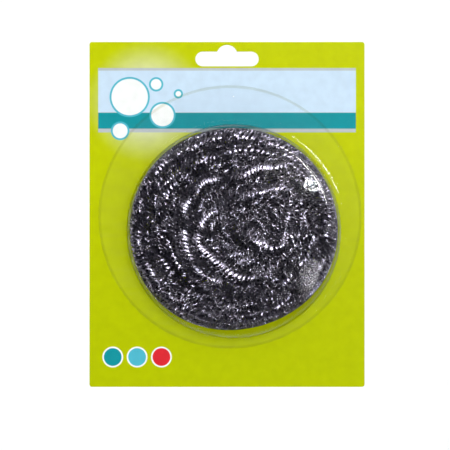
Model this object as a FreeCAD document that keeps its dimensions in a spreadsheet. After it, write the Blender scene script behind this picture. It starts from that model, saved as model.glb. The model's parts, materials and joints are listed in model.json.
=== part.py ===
import FreeCAD, Part
import math
import os

import Sketcher
from FreeCAD import Vector

# Stainless pot scrubber as sold: wound strands of curled steel ribbon, loose under a clear
# thermoformed blister that is sealed to a printed hang card.
# The pack lies on its back: +X is the card's right, +Y its top, +Z out of its printed face,
# and the origin is the middle of the card's back.

# Driving sizes in millimetres, angles in degrees, counts as whole numbers
SIZES = {
    # Hang card, with a round-topped peg slot
    "card_width": 130.0,
    "card_height": 163.0,
    "card_thickness": 0.6,
    "card_corner_radius": 1.2,
    "slot_length": 30.0,
    "slot_height": 7.0,
    "slot_drop": 8.0,
    "peg_round_radius": 5.0,
    "peg_round_rise": 1.7,
    # Clear blister, placed by the axis of its dome
    "dome_shift_x": 3.1,
    "dome_shift_y": -7.9,
    "dome_draft": 5.0,
    "shoulder_round": 5.0,
    "foot_round": 2.5,
    "sheet_thickness": 0.4,
    "flange_shift_x": -1.7,
    "flange_shift_y": 6.7,
    "seal_width": 2.2,
    # Room that the scrubber has under the dome
    "wall_clearance": 1.4,
    "head_clearance": 0.6,
    "card_gap": 0.3,
    "scrubber_lift": 0.6,
    # Wound strands: layers of two, each strand a spiral
    "scrubber_radius": 46.0,
    "strand_diameter": 5.3,
    "turn_gap": 1.2,
    "layer_gap": 0.6,
    "layer_crown": 0.4,
    "core_drift": 3.5,
    "tuck_angle": 50.0,
    # Open curls of the strand that lies on the face
    "face_radius": 24.0,
    "face_core_radius": 10.4,
    "face_lead": 9.0,
    "face_start": 50.0,
    "face_gap": 0.4,
    "curl_diameter": 5.6,
    "curl_wire": 0.7,
    "curl_pitch": 1.7,
    # Looser strand round the face, outside the open curls
    "rim_diameter": 4.4,
}

# A strand stops winding at this radius and turns in on this bend, as shares of its diameter
CORE_RADIUS_SHARE = 1.7
TUCK_RADIUS_SHARE = 1.13

LAYER_NAMES = ("back", "lower", "upper", "front")
STRANDS_IN_LAYER = 2
FULL_TURN = 2 * math.pi
QUARTER_TURN = FULL_TURN / 4
HALF_TURN = FULL_TURN / 2

doc = FreeCAD.newDocument("pot_scrubber")
sheet = doc.addObject("Spreadsheet::Sheet", "Sizes")
for row, (name, value) in enumerate(SIZES.items(), start=1):
    sheet.set(f"A{row}", name)
    sheet.set(f"B{row}", str(value))
    sheet.setAlias(f"B{row}", name)
doc.recompute()


def size(name):
    return float(sheet.get(name))


# Heights and radii that several pieces share, as expressions on the sheet
LAYER_STEP = "(Sizes.strand_diameter + Sizes.layer_gap + Sizes.layer_crown)"
STACK = f"(Sizes.strand_diameter + {len(LAYER_NAMES) - 1} * {LAYER_STEP})"
FACE = "(Sizes.face_gap + max(Sizes.curl_diameter; Sizes.rim_diameter))"
INSIDE_HEIGHT = f"(Sizes.card_gap + {STACK} + {FACE} + Sizes.head_clearance)"
OUTSIDE_HEIGHT = f"({INSIDE_HEIGHT} + Sizes.sheet_thickness)"
DRAFT = "tan(Sizes.dome_draft * 1 deg)"
SLANT_WALL = "(Sizes.sheet_thickness / cos(Sizes.dome_draft * 1 deg))"
INNER_TOP = "(Sizes.scrubber_radius + Sizes.wall_clearance)"
INNER_BASE = f"({INNER_TOP} + {INSIDE_HEIGHT} * {DRAFT})"
OUTER_BASE = f"({INNER_BASE} + {SLANT_WALL})"
OUTER_TOP = f"({OUTER_BASE} - {OUTSIDE_HEIGHT} * {DRAFT})"
FLANGE_OFFSET = "sqrt(Sizes.flange_shift_x ^ 2 + Sizes.flange_shift_y ^ 2)"
FLANGE_RADIUS = f"({OUTER_BASE} + Sizes.foot_round + {FLANGE_OFFSET} + Sizes.seal_width)"
SLOT_MIDDLE = "(Sizes.card_height / 2 - Sizes.slot_drop)"


# Sketches and features

def new_sketch(body, name, role):
    sketch = body.newObject("Sketcher::SketchObject", name)
    plane = next(p for p in body.Origin.OriginFeatures if p.Role == role)
    sketch.AttachmentSupport = [(plane, "")]
    sketch.MapMode = "FlatFace"
    return sketch


def pin_point(sketch, geometry, point, x, y):
    """Holds a point of the sketch at two expressions from its origin, or on an axis for zero."""
    for kind, axis, place in (("DistanceX", -2, x), ("DistanceY", -1, y)):
        if place == "0":
            sketch.addConstraint(Sketcher.Constraint("PointOnObject", geometry, point, axis))
            continue
        start = sketch.evalExpression(place)
        start = float(getattr(start, "Value", start))
        index = sketch.addConstraint(
            Sketcher.Constraint(kind, -1, 1, geometry, point, start))
        sketch.setExpression(f"Constraints[{index}]", place)


def add_outline(sketch, corners):
    """A closed outline of straight runs through corners given as pairs of expressions."""
    spread = [Vector(math.cos(i), math.sin(i), 0) for i in range(len(corners))]
    for i, start in enumerate(spread):
        end = spread[(i + 1) % len(spread)]
        sketch.addGeometry(Part.LineSegment(start, end))
    for i, (x, y) in enumerate(corners):
        before = (i - 1) % len(corners)
        sketch.addConstraint(Sketcher.Constraint("Coincident", before, 2, i, 1))
        pin_point(sketch, i, 1, x, y)


def add_circle(sketch, x, y, radius):
    unit_circle = Part.Circle(Vector(0, 0, 0), Vector(0, 0, 1), 1)
    index = sketch.addGeometry(unit_circle)
    pin_point(sketch, index, 3, x, y)
    rule = sketch.addConstraint(Sketcher.Constraint("Radius", index, 1))
    sketch.setExpression(f"Constraints[{rule}]", radius)


def add_feature(body, kind, name, sketch, **expressions):
    feature = body.newObject(kind, name)
    feature.Profile = sketch
    if kind.endswith(("Revolution", "Groove")):
        feature.ReferenceAxis = (sketch, ["V_Axis"])
    for target, expression in expressions.items():
        feature.setExpression(target, expression)
    doc.recompute()
    return feature


def add_fillet(body, name, base, wanted, radius):
    edges = [f"Edge{i}" for i, edge in enumerate(base.Shape.Edges, start=1) if wanted(edge)]
    fillet = body.newObject("PartDesign::Fillet", name)
    fillet.Base = (base, edges)
    fillet.setExpression("Radius", radius)
    doc.recompute()
    return fillet


def value_of(expression):
    found = sheet.evalExpression(expression)
    return float(getattr(found, "Value", found))


def circle_at(radius, height):
    """Picks the round edge about the body's own axis with this radius and height."""
    def wanted(edge):
        curve = edge.Curve
        if curve.TypeId != "Part::GeomCircle":
            return False
        place = Vector(curve.Center.x, curve.Center.y, curve.Center.z - height)
        slack = size("sheet_thickness") / 2
        return place.Length < slack and abs(curve.Radius - radius) < slack
    return wanted


def upright(edge):
    if edge.Curve.TypeId != "Part::GeomLine":
        return False
    return abs(edge.tangentAt(edge.FirstParameter).z) > math.cos(math.radians(1))


# Hang card: die-cut board with the peg slot through it

def make_card():
    body = doc.addObject("PartDesign::Body", "backing_card")
    half_width = "Sizes.card_width / 2"
    half_height = "Sizes.card_height / 2"
    outline = new_sketch(body, "card_outline", "XY_Plane")
    add_outline(outline, [
        (f"-{half_width}", f"-{half_height}"),
        (half_width, f"-{half_height}"),
        (half_width, half_height),
        (f"-{half_width}", half_height),
    ])
    board = add_feature(body, "PartDesign::Pad", "board", outline, Length="Sizes.card_thickness")
    rounded = add_fillet(body, "corners", board, upright, "Sizes.card_corner_radius")

    end_place = "(Sizes.slot_length - Sizes.slot_height) / 2"
    upper = f"{SLOT_MIDDLE} + Sizes.slot_height / 2"
    lower = f"{SLOT_MIDDLE} - Sizes.slot_height / 2"
    bar = new_sketch(body, "slot_bar", "XY_Plane")
    add_outline(bar, [
        (f"-{end_place}", lower),
        (end_place, lower),
        (end_place, upper),
        (f"-{end_place}", upper),
    ])
    cut_through(body, "slot_middle", bar)
    for side, sign in (("left", "-"), ("right", "")):
        end = new_sketch(body, f"slot_{side}", "XY_Plane")
        add_circle(end, f"{sign}{end_place}", SLOT_MIDDLE, "Sizes.slot_height / 2")
        cut_through(body, f"slot_{side}_end", end)
    peg_round = new_sketch(body, "peg_round", "XY_Plane")
    add_circle(peg_round, "0", f"{SLOT_MIDDLE} + Sizes.peg_round_rise", "Sizes.peg_round_radius")
    cut_through(body, "peg_seat", peg_round)
    if body.Shape.Volume >= rounded.Shape.Volume:
        raise RuntimeError("the peg slot cuts nothing")
    return body


def cut_through(body, name, sketch):
    pocket = add_feature(body, "PartDesign::Pocket", name, sketch)
    pocket.Type = "ThroughAll"
    pocket.Midplane = True
    doc.recompute()


# Clear blister: a drafted dome with a flat flange, one sheet of even thickness

def make_blister():
    body = doc.addObject("PartDesign::Body", "blister")
    body.setExpression("Placement.Base.x", "Sizes.dome_shift_x")
    body.setExpression("Placement.Base.y", "Sizes.dome_shift_y")
    body.setExpression("Placement.Base.z", "Sizes.card_thickness")

    disc = new_sketch(body, "flange_outline", "XY_Plane")
    add_circle(disc, "Sizes.flange_shift_x", "Sizes.flange_shift_y", FLANGE_RADIUS)
    add_feature(body, "PartDesign::Pad", "flange", disc, Length="Sizes.sheet_thickness")

    outside = new_sketch(body, "dome_outside", "XZ_Plane")
    add_outline(outside, [
        ("0", "0"),
        (OUTER_BASE, "0"),
        (OUTER_TOP, OUTSIDE_HEIGHT),
        ("0", OUTSIDE_HEIGHT),
    ])
    dome = add_feature(body, "PartDesign::Revolution", "dome", outside)

    inside = new_sketch(body, "dome_inside", "XZ_Plane")
    add_outline(inside, [
        ("0", "0"),
        (INNER_BASE, "0"),
        (INNER_TOP, INSIDE_HEIGHT),
        ("0", INSIDE_HEIGHT),
    ])
    hollow = add_feature(body, "PartDesign::Groove", "hollow", inside)
    if hollow.Shape.Volume >= dome.Shape.Volume:
        raise RuntimeError("the dome is not hollow")

    # The rounds that add sheet come before the ones that take it away
    foot_radius = value_of(f"{OUTER_BASE} - Sizes.sheet_thickness * {DRAFT}")
    rounds = (
        ("foot", foot_radius, size("sheet_thickness"), "Sizes.foot_round"),
        ("inner_shoulder", value_of(INNER_TOP), value_of(INSIDE_HEIGHT),
         "Sizes.shoulder_round - Sizes.sheet_thickness"),
        ("mouth", value_of(INNER_BASE), 0, "Sizes.foot_round + Sizes.sheet_thickness"),
        ("shoulder", value_of(OUTER_TOP), value_of(OUTSIDE_HEIGHT), "Sizes.shoulder_round"),
    )
    last = hollow
    for name, radius, height, round_size in rounds:
        last = add_fillet(body, name, last, circle_at(radius, height), round_size)
    return body


# Tubes along biarcs

def biarc(p0, t0, p1, t1):
    """Two arcs that leave p0 along t0 and reach p1 along t1, as edges."""
    span = p1 - p0
    both = t0 + t1
    spare = 2 * (1 - t0.dot(t1))
    lean = span.dot(both)
    reach = (math.sqrt(lean * lean + spare * span.dot(span)) - lean) / spare
    q0 = p0 + t0 * reach
    q1 = p1 - t1 * reach
    middle = (q0 + q1) / 2
    return [arc_edge(p0, t0, q0, middle), arc_edge(p1, -t1, q1, middle)]


def arc_edge(start, tangent, corner, end):
    chord = end - start
    half = math.acos(min(1.0, tangent.dot(chord) / chord.Length))
    bulge = corner - (start + end) / 2
    bulge.normalize()
    crest = (start + end) / 2 + bulge * (chord.Length / 2 * math.tan(half / 2))
    return Part.Arc(start, crest, end).toShape()


def path_edges(place, turns, run_in):
    """A straight run in, then biarcs through place(turn) at the given turns; also the end's heading."""
    tiny = 1e-5
    points = [place(turn) for turn in turns]
    tangents = []
    for turn in turns:
        tangent = place(turn + tiny) - place(turn - tiny)
        tangents.append(tangent.normalize())
    edges = [straight(points[0], -tangents[0] * run_in)]
    for i in range(len(points) - 1):
        edges += biarc(points[i], tangents[i], points[i + 1], tangents[i + 1])
    return edges, points[-1], tangents[-1]


def straight(start, run):
    return Part.LineSegment(start, start + run).toShape()


def make_tube(name, edges, diameter):
    """Sweeps a round wire along the edges and prints its least gap to itself."""
    wire = Part.Wire(Part.__sortEdges__(edges))
    start = wire.OrderedVertexes[0].Point
    first = wire.OrderedEdges[0]
    heading = first.tangentAt(first.FirstParameter)
    ring = Part.Wire(Part.Circle(start, heading, diameter / 2).toShape())
    shape = wire.makePipeShell([ring], True, False)
    tube = doc.addObject("Part::Feature", name)
    tube.Shape = shape
    tube.Placement = FreeCAD.Placement()
    section = math.pi * diameter * diameter / 4
    filled = shape.Volume / (section * wire.Length)
    gap = least_gap(wire, diameter)
    print(f"{name}: length {wire.Length:.1f} mm, volume {filled:.4f} of its section times length, "
          f"least gap to itself {gap:.2f} mm")
    return tube


def least_gap(wire, diameter):
    """Least distance between stretches of the wire that are not next to each other."""
    count = int(2 * wire.Length / diameter)
    points = wire.discretize(Number=count)
    step = wire.Length / (count - 1)
    apart = int(3 * diameter / step)
    cell = 3 * diameter
    grid = {}
    for i, point in enumerate(points):
        key = tuple(math.floor(c / cell) for c in point)
        grid.setdefault(key, []).append(i)
    least = math.inf
    near = [(a, b, c) for a in (-1, 0, 1) for b in (-1, 0, 1) for c in (-1, 0, 1)]
    for (a, b, c), members in grid.items():
        others = [j for da, db, dc in near for j in grid.get((a + da, b + db, c + dc), [])]
        for i in members:
            for j in others:
                if j - i > apart:
                    least = min(least, points[i].distanceToPoint(points[j]))
    return least - diameter


# Wound strands

def scrubber_axis():
    return Vector(size("dome_shift_x"), size("dome_shift_y") + size("scrubber_lift"), 0)


def layer_lead():
    return STRANDS_IN_LAYER * (size("strand_diameter") + size("turn_gap"))


def outer_turn(diameter, lead):
    """Radius of the outer turn, with room for its straight end inside the scrubber's radius."""
    reach = size("scrubber_radius") - diameter / 2
    lean = lead / FULL_TURN * diameter / reach
    return math.sqrt(reach ** 2 - diameter ** 2) - lean


def layer_height(layer, radius):
    """Middle height of a layer's strands: flat at the back, crowned towards the face."""
    diameter = size("strand_diameter")
    base = size("card_thickness") + size("card_gap") + diameter / 2
    swell = size("layer_crown") * (1 - (radius / outer_turn(diameter, layer_lead())) ** 2)
    return base + layer * (diameter + size("layer_gap") + swell)


def seat_height(radius, diameter):
    """Middle height of a strand of this diameter that lies on the front layer."""
    front = layer_height(len(LAYER_NAMES) - 1, radius)
    return front + (size("strand_diameter") + diameter) / 2 + size("face_gap")


def quarter_turns(loops):
    steps = math.ceil(loops * FULL_TURN / QUARTER_TURN)
    return [loops * i / steps for i in range(steps + 1)]


def make_strand(layer, order):
    diameter = size("strand_diameter")
    lead = layer_lead()
    outer = outer_turn(diameter, lead)
    loops = (outer - CORE_RADIUS_SHARE * diameter) / lead
    hand = 1 if layer % 2 else -1
    layers = len(LAYER_NAMES)
    begin = FULL_TURN * (order / STRANDS_IN_LAYER + layer / (layers * STRANDS_IN_LAYER))
    side = FULL_TURN * (layer + 1) / layers
    drift = Vector(math.cos(side), math.sin(side), 0) * size("core_drift")

    def place(turn):
        radius = outer - lead * turn
        angle = hand * (begin + FULL_TURN * turn)
        around = Vector(math.cos(angle), math.sin(angle), 0) * radius
        shift = drift * ((outer - radius) / outer)
        up = Vector(0, 0, layer_height(layer, radius))
        return scrubber_axis() + around + shift + up

    edges, end, heading = path_edges(place, quarter_turns(loops), diameter)
    edges += tuck(end, heading, hand, diameter)
    name = f"{LAYER_NAMES[layer]}_strand_{order + 1}"
    return make_tube(name, edges, diameter)


def tuck(start, heading, hand, diameter):
    """Turns the inner end in towards the core, then runs straight for one diameter."""
    angle = math.radians(size("tuck_angle"))
    inward = Vector(0, 0, hand).cross(heading)
    inward.normalize()
    radius = TUCK_RADIUS_SHARE * diameter
    centre = start + inward * radius

    def on_arc(turned):
        return centre - inward * (radius * math.cos(turned)) + heading * (radius * math.sin(turned))

    end = on_arc(angle)
    last = heading * math.cos(angle) + inward * math.sin(angle)
    arc = Part.Arc(start, on_arc(angle / 2), end).toShape()
    return [arc, straight(end, last * diameter)]


# Face strand: the same ribbon with its curls open, coiled on the front

def make_face_strand():
    wire = size("curl_wire")
    ring = (size("curl_diameter") - wire) / 2
    pitch = size("curl_pitch")
    rim = size("face_radius")
    core = size("face_core_radius")
    lead = size("face_lead")
    slow = lead / FULL_TURN
    run_length = (rim * rim - core * core) / (2 * slow)
    count = int(run_length / pitch)
    begin = math.radians(size("face_start"))

    def place(curl):
        radius = math.sqrt(rim * rim - 2 * slow * pitch * curl)
        angle = begin + (rim - radius) / slow
        out = Vector(math.cos(angle), math.sin(angle), 0)
        phase = FULL_TURN * curl
        up = Vector(0, 0, seat_height(radius, size("curl_diameter")) + ring * math.sin(phase))
        return scrubber_axis() + out * (radius + ring * math.cos(phase)) + up

    steps = int(count * FULL_TURN / HALF_TURN)
    edges, end, heading = path_edges(place, [count * i / steps for i in range(steps + 1)], wire)
    edges.append(straight(end, heading * wire))
    print(f"face_strand: {count} curls")
    return make_tube("face_strand", edges, wire)


# Rim strand: a spiral from the rim in to the open curls, whose last turn runs beside them and
# ends just before the place where they begin

def make_rim_strand():
    diameter = size("rim_diameter")
    lead = diameter + size("turn_gap")
    outer = outer_turn(diameter, lead)
    beside = size("face_radius") + (size("curl_diameter") + diameter) / 2 + size("face_gap")
    short = (diameter + size("curl_pitch")) / size("face_radius")
    loops = (outer - beside) / lead + 1 - short / FULL_TURN
    finish = math.radians(size("face_start")) - short

    def place(turn):
        radius = outer - lead * turn
        angle = finish - FULL_TURN * (loops - turn)
        out = Vector(math.cos(angle), math.sin(angle), 0)
        return scrubber_axis() + out * radius + Vector(0, 0, seat_height(radius, diameter))

    edges, end, heading = path_edges(place, quarter_turns(loops), diameter)
    edges.append(straight(end, heading * diameter))
    return make_tube("rim_strand", edges, diameter)


pieces = [make_card(), make_blister()]
for layer_index in range(len(LAYER_NAMES)):
    for order_index in range(STRANDS_IN_LAYER):
        pieces.append(make_strand(layer_index, order_index))
pieces += [make_face_strand(), make_rim_strand()]
doc.recompute()

for item in doc.Objects:
    if "Invalid" in item.State or "Error" in item.State:
        raise RuntimeError(f"{item.Label} did not build: {item.State}")
for piece in pieces:
    if piece.Shape.isNull() or not piece.Shape.isValid():
        raise RuntimeError(f"{piece.Label} has no valid shape")

os.makedirs("parts", exist_ok=True)
for piece in pieces:
    piece.Shape.exportStep(f"parts/{piece.Label}.step")
    print(f"{piece.Label}: {len(piece.Shape.Solids)} solid, {piece.Shape.Volume:.0f} cubic mm")
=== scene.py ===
import json
import math
import random
from bisect import bisect_left

import bmesh
import bpy
from mathutils import Matrix, Vector, noise


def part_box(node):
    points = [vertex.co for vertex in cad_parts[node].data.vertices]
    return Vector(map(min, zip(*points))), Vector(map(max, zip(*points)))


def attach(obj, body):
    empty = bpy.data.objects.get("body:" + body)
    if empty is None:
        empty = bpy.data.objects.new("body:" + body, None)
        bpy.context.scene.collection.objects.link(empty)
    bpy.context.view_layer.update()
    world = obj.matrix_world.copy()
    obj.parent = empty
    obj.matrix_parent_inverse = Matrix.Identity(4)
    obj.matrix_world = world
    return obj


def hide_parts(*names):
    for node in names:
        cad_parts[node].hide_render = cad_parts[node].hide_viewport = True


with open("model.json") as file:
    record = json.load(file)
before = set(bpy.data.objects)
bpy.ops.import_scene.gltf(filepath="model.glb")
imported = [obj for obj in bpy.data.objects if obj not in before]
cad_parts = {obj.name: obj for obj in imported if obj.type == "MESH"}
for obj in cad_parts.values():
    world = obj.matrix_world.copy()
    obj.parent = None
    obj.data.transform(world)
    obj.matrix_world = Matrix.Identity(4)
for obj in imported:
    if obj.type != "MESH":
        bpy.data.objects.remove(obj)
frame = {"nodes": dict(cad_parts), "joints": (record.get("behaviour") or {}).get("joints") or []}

mm = 0.001
fullTurn = 2 * math.pi
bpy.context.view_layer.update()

cardLow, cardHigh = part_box("backing_card")
cardFront = cardHigh.z
hinge = frame["joints"][0]["pos_m"]
scrubberAxis = Vector((hinge[0], hinge[1], 0))   # the scrubber turns about this upright line
noiseLow, noiseHigh = 0.3, 0.7   # most of a noise texture's values lie between these


# Small helpers for colours, nodes and pieces

def linear(hexColour):
    channels = [int(hexColour[i:i + 2], 16) / 255 for i in (1, 3, 5)]
    return [c / 12.92 if c <= 0.04045 else ((c + 0.055) / 1.055) ** 2.4 for c in channels] + [1.0]


def newMaterial(name):
    material = bpy.data.materials.new(name)
    material.use_nodes = True
    material.node_tree.nodes.clear()
    return material, material.node_tree


def addNode(tree, kind, settings=None, links=None):
    node = tree.nodes.new(kind)
    for key, value in (settings or {}).items():
        if isinstance(key, int) or key in node.inputs:
            node.inputs[key].default_value = value
        else:
            setattr(node, key, value)
    for key, socket in (links or {}).items():
        tree.links.new(socket, node.inputs[key])
    return node


def makePiece(name, bm, material, body, slot, *replaced):
    mesh = bpy.data.meshes.new(name)
    bm.to_mesh(mesh)
    bm.free()
    piece = bpy.data.objects.new(name, mesh)
    bpy.context.scene.collection.objects.link(piece)
    mesh.materials.append(material)
    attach(piece, body)
    if replaced:
        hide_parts(*replaced)
    return piece


# Printed card: coated folding boxboard, offset printed on one side

cardPrint = {
    "lime": "#bdc800",
    "limeFoot": "#b0bd00",
    "paleBlue": "#c6dcee",
    "teal": "#148f99",
    "silver": "#b4bcc2",
    "white": "#f1f4f2",
    "red": "#d62b33",
    "blue": "#4fb4c8",
    "board": "#cfcabf",
    "bandSides": (-60.9, 60.9),     # mm from the card's middle, as are the places below
    "fade": (-60.0, 60.0),
    "silverTop": (68.0, 69.2),
    "paleBand": (48.1, 68.0),
    "tealBand": (40.5, 48.1),
    "silverFoot": (38.8, 40.5),
    "glow": (-38.0, 53.0, 30.0),
    "glowStrength": 0.75,
    "bubbles": [(-46.0, 55.5, 9.5), (-30.5, 47.0, 6.2), (-50.5, 39.5, 4.4),
                (-33.5, 61.5, 3.4), (-23.0, 57.0, 2.2)],
    "bubbleRim": 0.9,
    "dots": [(-54.0, -67.4, "teal"), (-42.5, -67.4, "blue"), (-31.0, -67.4, "red")],
    "dotRadius": 4.9,
    "dotRim": 0.7,
    "edge": 0.12,                   # how soft an ink edge is
    "inkDepth": 0.25,               # the print reaches this far down from the face
    "mottle": 5.0,                  # mm across a cloud in the ink
    "mottleShade": (0.95, 1.03),
    "fibre": 0.6,                   # mm, length of the board's fibres
    "fibreLift": 0.05,
    "boardRough": 0.8,
    "varnishRough": 0.5,
}


def stepMask(tree, value, place, rising=True):
    soft = cardPrint["edge"] * mm
    ends = (0.0, 1.0) if rising else (1.0, 0.0)
    return addNode(tree, "ShaderNodeMapRange",
                   {1: place * mm - soft, 2: place * mm + soft, 3: ends[0], 4: ends[1]},
                   {0: value}).outputs[0]


def bothMasks(tree, first, second):
    return addNode(tree, "ShaderNodeMath", {"operation": "MULTIPLY"}, {0: first, 1: second}).outputs[0]


def spanMask(tree, value, span):
    return bothMasks(tree, stepMask(tree, value, span[0]), stepMask(tree, value, span[1], False))


def discMask(tree, flat, x, y, radius, rising=False):
    away = addNode(tree, "ShaderNodeVectorMath",
                   {"operation": "DISTANCE", 1: (x * mm, y * mm, 0)}, {0: flat}).outputs["Value"]
    return stepMask(tree, away, radius, rising)


def colourOver(tree, below, mask, colour):
    return addNode(tree, "ShaderNodeMix", {"data_type": "RGBA", 7: linear(colour)},
                   {0: mask, 6: below}).outputs[2]


def printedBoard():
    # A smooth clay coat under a thin varnish: even colour, soft gloss, a little mottle in the solids
    material, tree = newMaterial("Printed coated boxboard")
    p = cardPrint
    place = addNode(tree, "ShaderNodeTexCoord").outputs["Object"]
    split = addNode(tree, "ShaderNodeSeparateXYZ", links={0: place})
    x, y, z = (split.outputs[i] for i in range(3))
    flat = addNode(tree, "ShaderNodeCombineXYZ", links={0: x, 1: y}).outputs[0]

    # Lime ground, a shade deeper towards the foot
    foot, head = p["fade"]
    fade = addNode(tree, "ShaderNodeMapRange", {1: foot * mm, 2: head * mm, 3: 1.0, 4: 0.0},
                   {0: y}).outputs[0]
    colour = addNode(tree, "ShaderNodeMix",
                     {"data_type": "RGBA", 6: linear(p["lime"]), 7: linear(p["limeFoot"])},
                     {0: fade}).outputs[2]

    # Soft pale glow behind the header's left end
    glowX, glowY, glowSize = p["glow"]
    away = addNode(tree, "ShaderNodeVectorMath",
                   {"operation": "DISTANCE", 1: (glowX * mm, glowY * mm, 0)}, {0: flat}).outputs["Value"]
    glow = addNode(tree, "ShaderNodeMapRange",
                   {"interpolation_type": "SMOOTHSTEP", 1: glowSize * mm, 2: 0.0, 3: 0.0,
                    4: p["glowStrength"]}, {0: away}).outputs[0]
    colour = colourOver(tree, colour, glow, p["white"])

    # Header stripes
    sides = spanMask(tree, x, p["bandSides"])
    for stripe, ink in (("silverTop", "silver"), ("paleBand", "paleBlue"),
                        ("tealBand", "teal"), ("silverFoot", "silver")):
        colour = colourOver(tree, colour, bothMasks(tree, sides, spanMask(tree, y, p[stripe])), p[ink])

    # Plain bubbles at the stripe's left end and plain dots at the foot
    for bx, by, radius in p["bubbles"]:
        colour = colourOver(tree, colour, discMask(tree, flat, bx, by, radius), p["blue"])
        colour = colourOver(tree, colour, discMask(tree, flat, bx, by, radius - p["bubbleRim"]), p["white"])
    for dx, dy, ink in p["dots"]:
        colour = colourOver(tree, colour, discMask(tree, flat, dx, dy, p["dotRadius"]), p["white"])
        colour = colourOver(tree, colour, discMask(tree, flat, dx, dy, p["dotRadius"] - p["dotRim"]), p[ink])

    # Ink mottle, and the bare board on the cut edges and the back
    mottle = addNode(tree, "ShaderNodeTexNoise", {"Scale": 1 / (p["mottle"] * mm), "Detail": 3.0},
                     {"Vector": place}).outputs[0]
    dark, light = p["mottleShade"]
    shade = addNode(tree, "ShaderNodeMapRange", {1: noiseLow, 2: noiseHigh, 3: dark, 4: light}, {0: mottle})
    colour = addNode(tree, "ShaderNodeVectorMath", {"operation": "MULTIPLY"},
                     {0: colour, 1: shade.outputs[0]}).outputs[0]
    face = stepMask(tree, z, cardFront / mm - p["inkDepth"])
    bare = addNode(tree, "ShaderNodeMix", {"data_type": "RGBA", 6: linear(p["board"])}, {0: face, 7: colour})

    # Board fibres lift the varnish a little
    fibre = addNode(tree, "ShaderNodeTexNoise", {"Scale": 1 / (p["fibre"] * mm), "Detail": 2.0},
                    {"Vector": place})
    bump = addNode(tree, "ShaderNodeBump", {"Strength": 0.08, "Distance": p["fibreLift"] * mm},
                   {"Height": fibre.outputs[0]})
    rough = addNode(tree, "ShaderNodeMapRange", {3: p["boardRough"], 4: p["varnishRough"]}, {0: face})
    shader = addNode(tree, "ShaderNodeBsdfPrincipled", {"IOR": 1.5, "Specular IOR Level": 0.03},
                     {"Base Color": bare.outputs[2], "Roughness": rough.outputs[0],
                      "Normal": bump.outputs[0]})
    addNode(tree, "ShaderNodeOutputMaterial", links={"Surface": shader.outputs[0]})
    return material


frame["nodes"]["backing_card"].data.materials.clear()
frame["nodes"]["backing_card"].data.materials.append(printedBoard())
print("card printed")


# Blister: clear PET sheet, thermoformed, with a flat flange sealed to the card

blisterForm = {
    "axis": (3.1, -7.9),       # mm, as are the other lengths
    "wallTop": 47.77,
    "wallFoot": 50.49,
    "height": 31.5,
    "shoulder": 5.0,
    "foot": 2.5,
    "nearRound": 0.2,
    "sheet": 0.4,
    "lift": 0.03,              # keeps the sealed faces apart for the renderer
    "draft": 5.0,              # degrees
    "edgeShadeWidth": 1.2,            # width of the dull line of painted shade just inside the flange's cut edge
    "sealTop": 0.6,            # above the card: what is lower is sealed flange
    "streak": 1.8,             # spacing of the streaks in the seal
    "milk": (0.001, 0.008),    # share of light that the sealed flange scatters
    "wave": 14.0,              # length of the waves in the drawn wall
    "waveDepth": 0.5,
    "mirror": (0.006, 0.6),    # share mirrored square on and at grazing view
    "grazing": 5.0,            # power of the turn from one to the other
    "gloss": 0.04,
    # partly the sheet's real loss of light at grazing view, partly painted shade on the steep wall
    "clear": "#ffffff",
    # painted shade: the dull line just inside the flange's cut edge
    "steepTintAndShade": "#a3a89b",
    "edgeShade": "#fafaf7",
    "sharpAngle": 40,          # degrees between faces, past which an edge is shaded sharp
    "roundSteps": 8,
    "spinSteps": 192,
}


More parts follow.
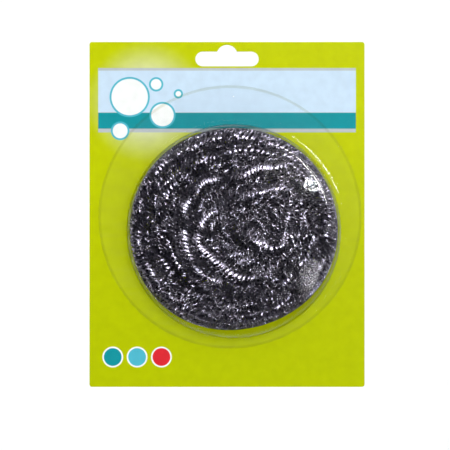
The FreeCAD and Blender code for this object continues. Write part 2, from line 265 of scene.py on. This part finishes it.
def clearSheet():
    # PET sheet is clear and thin: what lies behind shows straight through, under a mirror that
    # grows towards grazing view, and the drawn wall is a little wavy
    material, tree = newMaterial("Clear thermoformed PET")
    f = blisterForm
    place = addNode(tree, "ShaderNodeTexCoord").outputs["Object"]
    wave = addNode(tree, "ShaderNodeTexNoise", {"Scale": 1 / (f["wave"] * mm), "Detail": 2.0},
                   {"Vector": place})
    bump = addNode(tree, "ShaderNodeBump", {"Strength": 0.12, "Distance": f["waveDepth"] * mm},
                   {"Height": wave.outputs[0]}).outputs[0]
    facing = addNode(tree, "ShaderNodeLayerWeight", {"Blend": 0.5}, {"Normal": bump}).outputs["Facing"]
    grazing = addNode(tree, "ShaderNodeMath", {"operation": "POWER", 1: f["grazing"]}, {0: facing}).outputs[0]
    least, most = f["mirror"]
    mirrored = addNode(tree, "ShaderNodeMapRange", {3: least, 4: most}, {0: grazing}).outputs[0]
    # What shows through is darkened and greyed towards grazing view: partly the sheet's real loss of light
    # there, partly painted shade on the steep wall
    throughColour = addNode(tree, "ShaderNodeMix",
                   {"data_type": "RGBA", 6: linear(f["clear"]), 7: linear(f["steepTintAndShade"])},
                   {0: grazing}).outputs[2]

    # The sealed flange is milky in streaks, and a dull line of painted shade runs just inside its cut edge
    split = addNode(tree, "ShaderNodeSeparateXYZ", links={0: place})
    x, y, z = (split.outputs[i] for i in range(3))
    flat = addNode(tree, "ShaderNodeCombineXYZ", links={0: x, 1: y}).outputs[0]
    low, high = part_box("blister")
    middle, radius = (low + high) / (2 * mm), (high.x - low.x) / (2 * mm) - f["edgeShadeWidth"]
    sealed = stepMask(tree, z, cardFront / mm + f["sealTop"], False)
    edge = bothMasks(tree, sealed, discMask(tree, flat, middle.x, middle.y, radius, True))
    throughColour = colourOver(tree, throughColour, edge, f["edgeShade"])
    along = addNode(tree, "ShaderNodeVectorMath", {"operation": "MULTIPLY", 1: (0.1, 1, 1)}, {0: flat})
    streak = addNode(tree, "ShaderNodeTexNoise", {"Scale": 1 / (f["streak"] * mm), "Detail": 1.0},
                     {"Vector": along.outputs[0]}).outputs[0]
    thin, thick = f["milk"]
    milk = addNode(tree, "ShaderNodeMapRange", {1: noiseLow, 2: noiseHigh, 3: thin, 4: thick},
                   {0: streak}).outputs[0]

    through = addNode(tree, "ShaderNodeBsdfTransparent", links={"Color": throughColour})
    mirror = addNode(tree, "ShaderNodeBsdfGlossy", {"Color": linear(f["clear"]), "Roughness": f["gloss"]},
                     {"Normal": bump})
    scatter = addNode(tree, "ShaderNodeBsdfDiffuse", {"Color": linear(f["clear"])})
    sheet = addNode(tree, "ShaderNodeMixShader",
                    links={0: mirrored, 1: through.outputs[0], 2: mirror.outputs[0]})
    veiled = addNode(tree, "ShaderNodeMixShader",
                     links={0: bothMasks(tree, sealed, milk), 1: sheet.outputs[0], 2: scatter.outputs[0]})
    addNode(tree, "ShaderNodeOutputMaterial", links={"Surface": veiled.outputs[0]})
    return material


def makeBlister():
    f = blisterForm
    base = cardFront / mm + f["lift"] + f["sheet"]
    top = cardFront / mm + f["height"]
    slope = math.tan(math.radians((90 - f["draft"]) / 2))
    axis = Vector((f["axis"][0], f["axis"][1], 0))
    bm = bmesh.new()
    shoulder, foot = Vector((f["wallTop"], 0, top)), Vector((f["wallFoot"], 0, base))
    down = (foot - shoulder).normalized()
    topRun, footRun = f["shoulder"] * slope, f["foot"] * slope
    # A line of points close to each round keeps the flats flat when they are shaded smooth
    near = f["nearRound"]
    profile = [Vector((0, 0, top)), shoulder - Vector((topRun + near, 0, 0)), shoulder,
               shoulder + down * (topRun + near), foot - down * (footRun + near), foot,
               foot + Vector((footRun + near, 0, 0))]
    verts = [bm.verts.new((axis + point) * mm) for point in profile]
    for pair in zip(verts, verts[1:]):
        bm.edges.new(pair)
    for corner, run in ((verts[2], topRun), (verts[5], footRun)):
        bmesh.ops.bevel(bm, geom=[corner], offset=run * mm, offset_type="OFFSET",
                        affect="VERTICES", segments=f["roundSteps"], profile=0.5, material=-1)
    bmesh.ops.spin(bm, geom=bm.verts[:] + bm.edges[:], cent=axis * mm, axis=(0, 0, 1),
                   angle=fullTurn, steps=f["spinSteps"], use_merge=True)
    bmesh.ops.remove_doubles(bm, verts=bm.verts[:], dist=0.01 * mm)
    footLoop = [e for e in bm.edges if e.is_boundary]

    low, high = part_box("blister")
    flangeMiddle = Vector(((low.x + high.x) / 2, (low.y + high.y) / 2, base * mm))
    flange = bmesh.ops.extrude_edge_only(bm, edges=footLoop)["geom"]
    for v in flange:
        if isinstance(v, bmesh.types.BMVert):
            v.co = flangeMiddle + (v.co - flangeMiddle).normalized() * (high.x - low.x) / 2
    bmesh.ops.recalc_face_normals(bm, faces=bm.faces[:])
    if bm.faces[0].normal.z < 0:
        bmesh.ops.reverse_faces(bm, faces=bm.faces[:])
    bmesh.ops.solidify(bm, geom=bm.faces[:], thickness=f["sheet"] * mm)
    for face in bm.faces:
        face.smooth = True
    piece = makePiece("clear_blister", bm, clearSheet(), "pack", "clear_sheet", "blister")
    piece.data.set_sharp_from_angle(angle=math.radians(f["sharpAngle"]))


makeBlister()
print("blister formed")


# Curled steel ribbon

steel = {
    # Material's name, colour, and roughness between its brightest and dullest marks
    "ribbon": ("Satin-rolled stainless ribbon", "#7e7a88", (0.22, 0.36)),
    "wire": ("Bright stainless wire", "#85818e", (0.2, 0.34)),
    "rollingMark": 0.9,        # mm
}


def rolledSteel(name, colour, dullness):
    # Dark mirror-like steel that flashes white where a curl faces a lamp; the ribbon's flat is
    # satin and gives long soft flashes, the fine wire is bright and glints
    material, tree = newMaterial(name)
    place = addNode(tree, "ShaderNodeTexCoord").outputs["Object"]
    marks = addNode(tree, "ShaderNodeTexNoise", {"Scale": 1 / (steel["rollingMark"] * mm), "Detail": 2.0},
                    {"Vector": place}).outputs[0]
    polish = addNode(tree, "ShaderNodeMapRange", {1: noiseLow, 2: noiseHigh, 3: dullness[0], 4: dullness[1]},
                     {0: marks})
    shader = addNode(tree, "ShaderNodeBsdfPrincipled", {"Base Color": linear(colour), "Metallic": 1.0},
                     {"Roughness": polish.outputs[0]})
    addNode(tree, "ShaderNodeOutputMaterial", links={"Surface": shader.outputs[0]})
    return material


ribbonSteel = rolledSteel(*steel["ribbon"])
wireSteel = rolledSteel(*steel["wire"])

room = {
    "foot": 50.1,              # mm: the sheet's inner radius at the card
    "top": 47.4,               # and at the dome's top, before its round
    "round": 4.6,
    "height": 31.1,            # above the card's face
    "floor": 0.15,
    "clear": 0.9,              # the scrubber's axis is 0.6 off the dome's, and 0.3 is left for it to turn
    # Where the bun stands back from the dome: the direction in degrees, and by what share of its radius
    "slack": [(285, 0.045), (90, 0.02)],
    "slackFrom": 0.9,          # only what lies beyond this share of the radius stands back
    "slackWidth": 4,           # the higher, the narrower each direction
}


def keepInside(point):
    # Curls that would pass the sheet or the card are pressed flat against it
    r = room
    up = min(max(point.z / mm - cardFront / mm, r["floor"]), r["height"] - r["clear"] / 2)
    limit = r["foot"] + (r["top"] - r["foot"]) * up / r["height"]
    over = up - (r["height"] - r["round"])
    if over > 0:
        limit -= r["round"] - math.sqrt(r["round"] ** 2 - over ** 2)
    out = Vector((point.x - scrubberAxis.x, point.y - scrubberAxis.y, 0))
    limit -= r["clear"]
    if out.length > r["slackFrom"] * limit * mm:
        angle = math.atan2(out.y, out.x)
        limit *= 1 - sum(share * max(0, math.cos(angle - math.radians(toward))) ** r["slackWidth"]
                         for toward, share in r["slack"])
    out.length = min(out.length, limit * mm)
    return Vector((scrubberAxis.x + out.x, scrubberAxis.y + out.y, cardFront + up * mm))


curlMaking = {
    "routeSteps": 8,           # points of the line for each control point
    "merge": 0.005,            # mm
    "sharpAngle": 50,
    "seedStep": 0.37,          # between the strands of one piece
    # Unevenness along a strand: mm for one swing, and which row of the noise
    "swell": (9, 3.3),
    "roll": (16, 21.7),
    "lean": (19, 11.4),
    "slip": (13, 5.1),
    # Unevenness from turn to turn: swings for a turn, row, and weight
    "turnSwell": (0.7, 27.3, 0.6),
    "turnLean": (0.55, 33.8, 1.5),
    "turnSlip": (0.8, 41.2, 1.5),
    "wanderRows": (0.7, 8.2, 15.9),
    "wanderRise": 0.7,         # up and down, against sideways
}


def smoothRoute(points):
    # One NURBS line along the control points, in metres from the scrubber's axis
    curve = bpy.data.curves.new("route", "CURVE")
    curve.dimensions = "3D"
    curve.resolution_u = curlMaking["routeSteps"]
    spline = curve.splines.new("NURBS")
    spline.points.add(len(points) - 1)
    for target, (x, y, z) in zip(spline.points, points):
        target.co = (x * mm, y * mm, z * mm, 1)
    spline.order_u = 3
    spline.use_endpoint_u = True
    holder = bpy.data.objects.new("route", curve)
    mesh = bpy.data.meshes.new_from_object(holder)
    line = [scrubberAxis + v.co for v in mesh.vertices]
    bpy.data.objects.remove(holder)
    bpy.data.curves.remove(curve)
    bpy.data.meshes.remove(mesh)
    return line


def spunTurns(form):
    # A few turns of flat ribbon, spun about Z, which the coil repeats
    bm = bmesh.new()
    across, through = form["width"] * mm / 2, form["thickness"] * mm / 2
    corners = [bm.verts.new((form["curl"] * mm + a * through, 0, b * across))
               for a, b in ((-1, -1), (1, -1), (1, 1), (-1, 1))]
    section = [bm.edges.new((corners[i - 1], corners[i])) for i in range(4)]
    bmesh.ops.spin(bm, geom=corners + section, cent=(0, 0, 0), axis=(0, 0, 1),
                   dvec=(0, 0, form["pitch"] * mm / form["sides"]), angle=fullTurn * form["turns"],
                   steps=form["sides"] * form["turns"], use_merge=False)
    mesh = bpy.data.meshes.new("turns")
    bm.to_mesh(mesh)
    bm.free()
    return mesh


def addCoil(bm, turns, form, line, seed):
    # Repeats the spun turns to the line's length, then bends the straight coil along the line
    marks = [0.0]
    for a, b in zip(line, line[1:]):
        marks.append(marks[-1] + (b - a).length)
    unit = form["pitch"] * form["turns"] * mm
    count = max(1, int(marks[-1] / unit))
    coil = bmesh.new()
    for i in range(count):
        start = len(coil.verts)
        coil.from_mesh(turns)
        coil.verts.ensure_lookup_table()
        bmesh.ops.translate(coil, verts=coil.verts[start:], vec=(0, 0, i * unit))
    bmesh.ops.remove_doubles(coil, verts=coil.verts[:], dist=curlMaking["merge"] * mm)
    bmesh.ops.holes_fill(coil, edges=[e for e in coil.edges if e.is_boundary], sides=4)
    stretch = marks[-1] / (count * unit)
    for v in coil.verts:
        v.co = keepInside(onLine(v.co, line, marks, stretch, form, seed))
    bent = bpy.data.meshes.new("coil")
    coil.to_mesh(bent)
    coil.free()
    bm.from_mesh(bent)
    bpy.data.meshes.remove(bent)


def swing(kind, run, seed):
    length, row = curlMaking[kind]
    return noise.noise((run / (length * mm), seed, row))


def turnSwing(kind, turn, seed):
    rate, row, weight = curlMaking[kind]
    return weight * noise.noise((turn * rate, seed, row))


def onLine(co, line, marks, stretch, form, seed):
    # Where a point of the straight coil lies once the coil follows its line
    run = co.z * stretch
    angle = math.atan2(co.y, co.x) / fullTurn % 1
    turn = round(co.z / (form["pitch"] * mm) - angle) + angle   # the same all across the ribbon
    swell = 1 + form["swell"] * swing("swell", run, seed)
    swell += form["uneven"] * turnSwing("turnSwell", turn, seed)
    roll = form["roll"] * swing("roll", run, seed)
    wide, high = co.x * swell, co.y * swell * form["flat"]
    side = wide * math.cos(roll) - high * math.sin(roll)
    rise = wide * math.sin(roll) + high * math.cos(roll)
    lean = form["lean"] * (1 + swing("lean", run, seed))
    lean += form["uneven"] * turnSwing("turnLean", turn, seed)
    slip = form["slip"] * swing("slip", run, seed)
    slip += form["uneven"] * form["pitch"] * turnSwing("turnSlip", turn, seed)
    run += slip * mm + lean * wide
    i = min(max(bisect_left(marks, run), 1), len(marks) - 1)
    a, b = line[i - 1], line[i]
    share = (run - marks[i - 1]) / max(marks[i] - marks[i - 1], 1e-9)
    ahead = (line[min(i + 1, len(line) - 1)] - line[max(i - 2, 0)]).normalized()
    left = Vector((-ahead.y, ahead.x, 0)).normalized()
    over = ahead.cross(left)
    far = run / (form["stray"] * mm)
    wander = Vector([noise.noise((far, seed, row)) for row in curlMaking["wanderRows"]])
    wander.z *= curlMaking["wanderRise"]
    return a.lerp(b, share) + left * side + over * rise + wander * form["wobble"] * mm


def ribbonPiece(name, routes, form, seed, material, *replaced):
    bm = bmesh.new()
    turns = spunTurns(form)
    for i, points in enumerate(routes):
        addCoil(bm, turns, form, smoothRoute(points), seed + curlMaking["seedStep"] * i)
    bpy.data.meshes.remove(turns)
    bmesh.ops.recalc_face_normals(bm, faces=bm.faces[:])
    for face in bm.faces:
        face.smooth = True
    piece = makePiece(name, bm, material, "scrubber", "steel_ribbon", *replaced)
    piece.data.set_sharp_from_angle(angle=math.radians(curlMaking["sharpAngle"]))


# Wound strands, two to a layer, each a spiral from the rim to the core

winding = {
    "layers": ("back", "lower", "upper", "front"),
    "outer": 46.4,             # mm, as are the other lengths
    "spread": 0.5,             # each layer is this much wider than the one in front of it
    "hold": 0.5,               # turns at the rim before the strand spirals in
    "core": 7.0,
    "lead": 13.0,
    "firstHeight": 3.55,
    "layerStep": 5.9,
    "crown": 0.9,              # each layer's rise in the middle over the one below
    "drift": 3.5,
    "pointsPerTurn": 16,
}

woundRibbon = {
    "width": 0.38, "thickness": 0.1, "curl": 3.0, "pitch": 1.15, "sides": 12, "turns": 5,
    "uneven": 0.3, "swell": 0.55, "flat": 0.9, "roll": 0.5,
    "slip": 6.0, "lean": 0.4, "wobble": 3.2, "stray": 12.0,
}


def windingRoute(layer, order):
    w = winding
    count = len(w["layers"])
    hand = 1 if layer % 2 else -1
    begin = fullTurn * (order / 2 + layer / (2 * count))
    toward = fullTurn * (layer + 1) / count
    outer = w["outer"] + w["spread"] * (count - 1 - layer)
    loops = w["hold"] + (outer - w["core"]) / w["lead"]
    steps = int(loops * w["pointsPerTurn"])
    points = []
    for i in range(steps + 1):
        turn = loops * i / steps
        radius = outer - w["lead"] * max(0, turn - w["hold"])
        angle = hand * (begin + fullTurn * turn)
        shift = w["drift"] * (1 - radius / outer)
        swell = 1 - (radius / outer) ** 2
        height = w["firstHeight"] + layer * (w["layerStep"] + w["crown"] * swell)
        points.append((radius * math.cos(angle) + shift * math.cos(toward),
                       radius * math.sin(angle) + shift * math.sin(toward), height))
    return points


for layer, layerName in enumerate(winding["layers"]):
    for order in range(2):
        node = f"{layerName}_strand_{order + 1}"
        ribbonPiece(f"{node}_ribbon", [windingRoute(layer, order)], woundRibbon,
                    10.0 * layer + 3.1 * order, ribbonSteel, node)
    print(layerName, "strands wound")


# Face strand: the swirl, ropes of open curls laid over the front, given in mm from the scrubber's axis

faceRibbon = {
    "width": 0.62, "thickness": 0.12, "curl": 3.8, "pitch": 1.35, "sides": 14, "turns": 3,
    "uneven": 0.3, "swell": 0.4, "flat": 0.5, "roll": 0.6,
    "slip": 4.0, "lean": 0.5, "wobble": 2.0, "stray": 11.0,
}
faceRoutes = [
    # Outer arm of the swirl
    [(30, 31, 22), (25.9, 30.7, 25), (18.4, 28.8, 27), (10.9, 27.3, 27.5), (4.8, 25.4, 27.8),
     (-1.2, 24.3, 27.8), (-8, 24.2, 27.8), (-13.2, 21.6, 27.8), (-18.1, 17.5, 27.8), (-20.8, 11.5, 27.8),
     (-22.7, 4, 27.8), (-23.4, -3.6, 27.8), (-21.9, -10.3, 27.8), (-19.3, -16.4, 27.8),
     (-15.5, -21.3, 27.6), (-10.2, -24.4, 27), (-3.6, -26.6, 25.5), (4.1, -27.2, 24), (12, -26, 22)],
    # Inner arm, from the right over the top and down the left
    [(27, 12, 24), (24.6, 18.4, 26.5), (19, 19.5, 27.6), (12.7, 17.2, 27.8), (6.3, 15.9, 27.8),
     (0.9, 13.6, 27.8), (-4.5, 11.8, 27.8), (-9.5, 9.6, 27.8), (-13.4, 6, 27.8), (-15.8, 0, 27.8),
     (-15.6, -5.8, 27.8), (-13.3, -11, 27.8), (-8.8, -16.5, 27.8), (-2.7, -20.4, 27.6), (3.6, -22.4, 27),
     (10, -22, 26), (16.3, -18.9, 24.5)],
    # Middle of the swirl
    [(24, 12, 25), (24.6, 6, 27), (24, 0.5, 27.3), (21.4, -5, 27.2), (17, -8.4, 27.5), (12.5, -7, 27.8),
     (8.6, -4.2, 27.8), (4.6, -0.8, 27.8), (1, -1.2, 27.2), (-2.6, -3.4, 25.5)],
]
ribbonPiece("face_strand_ribbon", faceRoutes, faceRibbon, 51.0, ribbonSteel, "face_strand")
print("face strand laid")


# Rim strand: a looser rope round the face, which lies against the dome; angle, radius and height

rimRibbon = {
    "width": 0.6, "thickness": 0.12, "curl": 3.2, "pitch": 1.55, "sides": 14, "turns": 3,
    "uneven": 0.35, "swell": 0.5, "flat": 0.75, "roll": 0.8,
    "slip": 5.0, "lean": 0.5, "wobble": 2.2, "stray": 10.0,
}
rimTurns = [
    # Outer turn, from the right over the top and down the left to the foot
    [(40, 41, 20), (52, 43, 23), (62, 42.6, 24), (74, 42.4, 24.5), (86, 43, 25.5),
     (98, 42.2, 25.2), (110, 43.4, 25), (122, 42.8, 25.6), (134, 43.8, 24.6), (146, 43.2, 25.4),
     (158, 44.2, 25), (170, 43.6, 25.6), (182, 44.4, 24.8), (194, 43.6, 24.4), (206, 43.8, 23),
     (218, 42.6, 22.6), (230, 43.2, 22.4), (242, 41.8, 22.2), (254, 41.6, 22.6), (266, 40.6, 23),
     (278, 41, 23.6), (290, 39.8, 24), (302, 41, 23)],
    # Inner turn, nearer the swirl, over the top and the left
    [(66, 36, 23), (78, 35, 26), (90, 34.4, 26.6), (102, 35.2, 26.4), (114, 34, 26.8),
     (126, 34.8, 26.4), (138, 33.6, 26.6), (150, 34.6, 26.2), (162, 34, 26.6), (174, 34.6, 26.2),
     (186, 33.4, 26), (198, 34, 24.6), (208, 33, 22)],
    # Turns at the right, against the dome
    [(-52, 41, 22), (-42, 40.6, 24.6), (-34, 41.4, 25.4), (-24, 42.4, 25), (-14, 43.2, 24.6),
     (-3, 43.6, 24.4), (8, 43.2, 24.8), (19, 43.6, 24.4), (30, 42.6, 23.6), (40, 40, 21)],
    [(-60, 33, 23), (-48, 34, 26), (-36, 34.6, 26.4), (-24, 35, 26), (-12, 36.6, 25.6),
     (0, 37, 24.6), (11, 36, 22)],
]
rimRoutes = [[(r * math.cos(math.radians(a)), r * math.sin(math.radians(a)), z) for a, r, z in turn]
             for turn in rimTurns]
ribbonPiece("rim_strand_ribbon", rimRoutes, rimRibbon, 57.0, ribbonSteel, "rim_strand")
print("rim strand laid")


# Loose curls between the ropes, and a tangle of finer ribbon, mostly over the right and the foot

looseRibbon = {
    "width": 0.36, "thickness": 0.1, "curl": 2.7, "pitch": 1.6, "sides": 12, "turns": 2,
    "uneven": 0.25, "swell": 0.5, "flat": 0.6, "roll": 0.7,
    "slip": 5.0, "lean": 0.7, "wobble": 2.8, "stray": 8.0,
}
fineRibbon = {
    "width": 0.24, "thickness": 0.09, "curl": 2.3, "pitch": 1.5, "sides": 12, "turns": 3,
    "uneven": 0.25, "swell": 0.6, "flat": 0.6, "roll": 0.8,
    "slip": 5.0, "lean": 1.0, "wobble": 3.5, "stray": 6.0,
}
looseLay = {
    "strands": 14, "length": (50, 110), "radius": (8, 43), "sector": (0, 360), "step": 6.0,
    "height": (25.0, 21.5), "depth": (-2.5, 1.5), "rim": 43.0,
}
fineLay = {
    "strands": 24, "length": (40, 90), "radius": (14, 45), "sector": (-115, 70), "step": 5.0,
    "height": (27.4, 26.0), "depth": (-2.5, 0.8), "rim": 45.0,
}
thinLay = {
    "strands": 24, "length": (40, 90), "radius": (6, 45), "sector": (0, 360), "step": 5.0,
    "height": (25.6, 24.0), "depth": (-2.5, 0.8), "rim": 45.0,
}
straggle = {
    "drift": 3,                # mm that a line may wander in or out at each step
    "nearest": 4,              # mm from the axis
    "tightest": 8,             # radius below which a line bends no tighter
}
coreLay = {
    "ends": 9, "spin": 0.3, "across": 5, "reach": (-9, -4, 1, 5, 9),
    "height": 8, "rise": 2, "waver": 1,
}


def straggling(lay, draw):
    # Lines that wander round the bun, each at its own height under the bun's rounded top
    routes = []
    for _ in range(lay["strands"]):
        radius = draw.uniform(*lay["radius"])
        angle = math.radians(draw.uniform(*lay["sector"]))
        hand = draw.choice((-1, 1))
        points = []
        for _ in range(int(draw.uniform(*lay["length"]) / lay["step"])):
            middle, edge = lay["height"]
            height = middle + (edge - middle) * (radius / lay["rim"]) ** 2
            points.append((radius * math.cos(angle), radius * math.sin(angle),
                           height + draw.uniform(*lay["depth"])))
            angle += hand * lay["step"] / max(radius, straggle["tightest"])
            radius += draw.uniform(-straggle["drift"], straggle["drift"])
            radius = min(max(radius, straggle["nearest"]), lay["rim"])
        routes.append(points)
    return routes


def coreRoutes(draw):
    # Short ends tucked in over the open core
    c = coreLay
    routes = []
    for i in range(c["ends"]):
        angle = fullTurn * i / c["ends"] + draw.uniform(-c["spin"], c["spin"])
        reach = Vector((math.cos(angle), math.sin(angle), 0))
        across = Vector((-reach.y, reach.x, 0)) * draw.uniform(-c["across"], c["across"])
        height = c["height"] + c["rise"] * i
        route = []
        for r in c["reach"]:
            up = height + draw.uniform(-c["waver"], c["waver"])
            route.append(tuple(reach * r + across + Vector((0, 0, up))))
        routes.append(route)
    return routes


ribbonPiece("core_curls", coreRoutes(random.Random(5)), looseRibbon, 61.0, wireSteel)
for i in range(3):
    ribbonPiece(f"loose_curls_{i + 1}", straggling(looseLay, random.Random(7 + i)), looseRibbon,
                70.0 + 5 * i, wireSteel)
for i in range(2):
    ribbonPiece(f"fine_tangle_{i + 1}", straggling(fineLay, random.Random(31 + i)), fineRibbon,
                90.0 + 5 * i, wireSteel, "rim_strand")
ribbonPiece("fine_tangle_3", straggling(thinLay, random.Random(37)), fineRibbon, 103.0, wireSteel)
print("loose curls laid")


# Stray wires: broken edges of ribbon that lie in loops on the face

strayWire = {
    "count": 170, "depth": 0.075, "step": 3.0, "points": (6, 14), "turn": 0.9, "jitter": 0.5,
    "radius": (0, 45), "height": (26.0, 30.2), "waver": 0.4, "seed": 17,
    # One wire that stands out as a loop above the swirl's middle
    "loop": [(-1.0, -1.6, 30.4), (2.0, 1.6, 30.6), (5.4, 5.2, 30.7), (8.0, 9.0, 30.7),
             (12.4, 9.9, 30.7), (15.0, 7.4, 30.7), (15.6, 4.6, 30.6), (17.6, 2.0, 30.4)],
    "loopWeight": 2.0,         # times the others' thickness
    "curveSteps": 5,
}
# Wires matted side by side where the bun is pressed against the dome at the lower right
mattedWire = {
    "count": 46, "middle": (34.4, -21.6), "size": (4.6, 2.2), "heading": 52, "fan": 14,
    "length": 7.0, "height": (29.2, 30.2), "fall": 0.16, "bow": 0.3,
}


def strayRoutes(draw):
    f = strayWire
    routes = []
    for _ in range(f["count"]):
        reach, angle = draw.uniform(*f["radius"]), draw.uniform(0, fullTurn)
        place = Vector((reach * math.cos(angle), reach * math.sin(angle), 0))
        heading = draw.uniform(0, fullTurn)
        bend = draw.uniform(-f["turn"], f["turn"])
        height = draw.uniform(*f["height"])
        route = []
        for _ in range(draw.randint(*f["points"])):
            route.append(Vector((place.x, place.y, height + draw.uniform(-1, 1) * f["waver"])))
            heading += bend + draw.uniform(-f["jitter"], f["jitter"])
            place += Vector((math.cos(heading), math.sin(heading), 0)) * f["step"]
        routes.append(route)
    return routes


def mattedRoutes(draw):
    m = mattedWire
    wide, narrow = m["size"]
    routes = []
    for _ in range(m["count"]):
        along = math.radians(m["heading"] + draw.uniform(-m["fan"], m["fan"]))
        reach = Vector((math.cos(along), math.sin(along), -m["fall"])) * m["length"] / 2
        offset = Vector((draw.gauss(0, narrow), draw.gauss(0, wide), 0))
        middle = Vector((*m["middle"], draw.uniform(*m["height"]))) + offset
        bend = Vector((reach.y, -reach.x, 0)) * draw.uniform(-m["bow"], m["bow"])
        routes.append([middle - reach, middle + bend, middle + reach])
    return routes


def makeStrayWires():
    f = strayWire
    draw = random.Random(f["seed"])
    curve = bpy.data.curves.new("stray_wires", "CURVE")
    curve.dimensions = "3D"
    curve.resolution_u = f["curveSteps"]
    curve.bevel_depth = f["depth"] * mm
    curve.bevel_resolution = 1
    loop = [Vector(point) for point in f["loop"]]
    for route in [loop] + strayRoutes(draw) + mattedRoutes(draw):
        spline = curve.splines.new("NURBS")
        spline.points.add(len(route) - 1)
        for target, point in zip(spline.points, route):
            target.co = (*keepInside(scrubberAxis + point * mm), 1)
            target.radius = f["loopWeight"] if route is loop else 1
        spline.order_u = 3
        spline.use_endpoint_u = True
    holder = bpy.data.objects.new("stray_wires", curve)
    mesh = bpy.data.meshes.new_from_object(holder)
    bpy.data.objects.remove(holder)
    bpy.data.curves.remove(curve)
    bm = bmesh.new()
    bm.from_mesh(mesh)
    bpy.data.meshes.remove(mesh)
    for face in bm.faces:
        face.smooth = True
    makePiece("stray_wires", bm, wireSteel, "scrubber", "steel_ribbon")


makeStrayWires()
print("stray wires laid")


# Studio: pale floor, soft lamps and the camera square above the card

studio = {
    "cameraHeight": 580.0,           # mm above the card's face
    "cameraPlace": (-0.95, -5.0),
    "widthAtCard": 212.7,
    "sensor": 36.0,
    "floorSize": 6.0,                # metres
    "floorGap": 0.05,                # mm under the card
    "floor": "#f6f6f6",
    "horizon": "#f4f4f4",            # pale all round, and dark overhead so that the steel keeps its depth
    "zenith": "#020203",
    "skyline": 0.36,                 # how high the pale part reaches, as the sine of its elevation
    "skyStrength": 2.0,
}
# Place and aim in metres, width and height in metres, power in watts, spread in degrees
mirrorLamps = {
    # What the steel and the sheet mirror; the gridded ones fade towards the lower left
    "key": ((0.28, 0.2, 1.05), (0.09, 0.11, 0.03), (0.28, 0.28), 0.37, 30),
    "key wing": ((0.54, 0.4, 0.98), (0.1, 0.12, 0.03), (0.5, 0.4), 0.23, 30),
    "upper wing": ((-0.06, 0.42, 1.02), (0.1, 0.12, 0.03), (0.5, 0.34), 0.035, 30),
    "wide strip": ((0.64, 0.68, 0.66), (0, 0, 0.03), (0.75, 0.3), 0.6, 180),
    "left panel": ((-0.62, 0.66, 0.7), (0, 0, 0.03), (0.9, 0.5), 0.08, 180),
    "bare flash": ((0.11, 0.049, 1.05), (0.038, 0.014, 0.032), (0.011, 0.012), 0.17, 180),
    # Narrow beams, whose glare on the dome has no edge
    "upper beam": ((0.073, 0.068, 1.05), (0.025, 0.02, 0.032), (0.12, 0.12), 1.6e-5, 1.8),
    "lower beam": ((0.11, -0.071, 1.05), (0.038, -0.028, 0.032), (0.12, 0.12), 6.0e-5, 1.7),
}
softLamps = {
    # What lights the card and the floor evenly
    "overhead softbox": ((0.0, 0.0, 2.2), (0, 0, 0), (4.0, 4.0), 40.0, 180),
    "front softbox": ((0.05, 0.06, 1.6), (0, 0, 0), (0.5, 0.5), 16.0, 180),
}


def floorPaint():
    # Matt white paper sweep
    material, tree = newMaterial("Matt white paper")
    shader = addNode(tree, "ShaderNodeBsdfPrincipled",
                     {"Base Color": linear(studio["floor"]), "Roughness": 0.9})
    addNode(tree, "ShaderNodeOutputMaterial", links={"Surface": shader.outputs[0]})
    return material


def makeStudio():
    bm = bmesh.new()
    bmesh.ops.create_grid(bm, x_segments=1, y_segments=1, size=studio["floorSize"] / 2,
                          matrix=Matrix.Translation((0, 0, cardLow.z - studio["floorGap"] * mm)))
    mesh = bpy.data.meshes.new("floor")
    bm.to_mesh(mesh)
    bm.free()
    floor = bpy.data.objects.new("floor", mesh)
    bpy.context.scene.collection.objects.link(floor)
    mesh.materials.append(floorPaint())

    for name, (place, aim, (width, height), power, spread) in (mirrorLamps | softLamps).items():
        light = bpy.data.lights.new(name, "AREA")
        light.shape = "ELLIPSE"
        light.size = width
        light.size_y = height
        light.energy = power
        light.spread = math.radians(spread)
        lamp = bpy.data.objects.new(name, light)
        lamp.location = place
        lamp.rotation_euler = (Vector(aim) - Vector(place)).to_track_quat("-Z", "Y").to_euler()
        lamp.visible_glossy = name in mirrorLamps
        lamp.visible_diffuse = name in softLamps
        lamp.visible_camera = False
        bpy.context.scene.collection.objects.link(lamp)

    world = bpy.data.worlds.new("studio")
    world.use_nodes = True
    tree = world.node_tree
    way = addNode(tree, "ShaderNodeTexCoord").outputs["Generated"]
    rise = addNode(tree, "ShaderNodeSeparateXYZ", links={0: way}).outputs[2]
    height = addNode(tree, "ShaderNodeMapRange",
                     {"interpolation_type": "SMOOTHSTEP", 2: studio["skyline"]}, {0: rise}).outputs[0]
    sky = addNode(tree, "ShaderNodeMix",
                  {"data_type": "RGBA", 6: linear(studio["horizon"]), 7: linear(studio["zenith"])},
                  {0: height})
    tree.links.new(sky.outputs[2], tree.nodes["Background"].inputs["Color"])
    tree.nodes["Background"].inputs["Strength"].default_value = studio["skyStrength"]
    bpy.context.scene.world = world
    bpy.context.scene.view_settings.view_transform = "Standard"

    data = bpy.data.cameras.new("camera")
    data.sensor_width = studio["sensor"]
    data.lens = studio["sensor"] * studio["cameraHeight"] / studio["widthAtCard"]
    camera = bpy.data.objects.new("camera", data)
    camera.location = (studio["cameraPlace"][0] * mm, studio["cameraPlace"][1] * mm,
                       cardFront + studio["cameraHeight"] * mm)
    bpy.context.scene.collection.objects.link(camera)
    bpy.context.scene.camera = camera


makeStudio()
print("studio lit")
